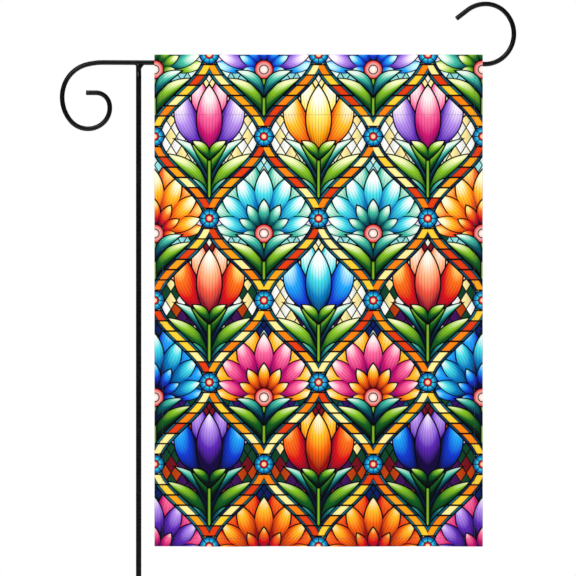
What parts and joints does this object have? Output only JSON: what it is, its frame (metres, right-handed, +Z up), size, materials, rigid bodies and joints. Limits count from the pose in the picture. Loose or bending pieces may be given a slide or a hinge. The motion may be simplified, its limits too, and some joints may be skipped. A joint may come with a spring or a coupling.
{
  "type": "garden flag on its stand",
  "caption": "Printed cloth garden flag hung by its rod sleeve on the straight arm of a black bent-rod stand with a scroll and an open hook.",
  "frame": {"origin": "where the pole's axis meets the ground; the stake below it is in the soil", "axes": "+Z up along the pole, +X along the arm from the scroll to the hook, -Y out of the printed front of the flag"},
  "size_m": [0.4244, 0.0094, 0.9197],
  "materials": {
    "printed_cloth": "dye-printed woven polyester, matt with a faint sheen",
    "black_steel": "satin black powder coat"
  },
  "bodies": {
    "root": {"flag": "printed_cloth", "scroll_arm": "black_steel", "pole": "black_steel", "weld": "black_steel"}
  },
  "joints": []
}
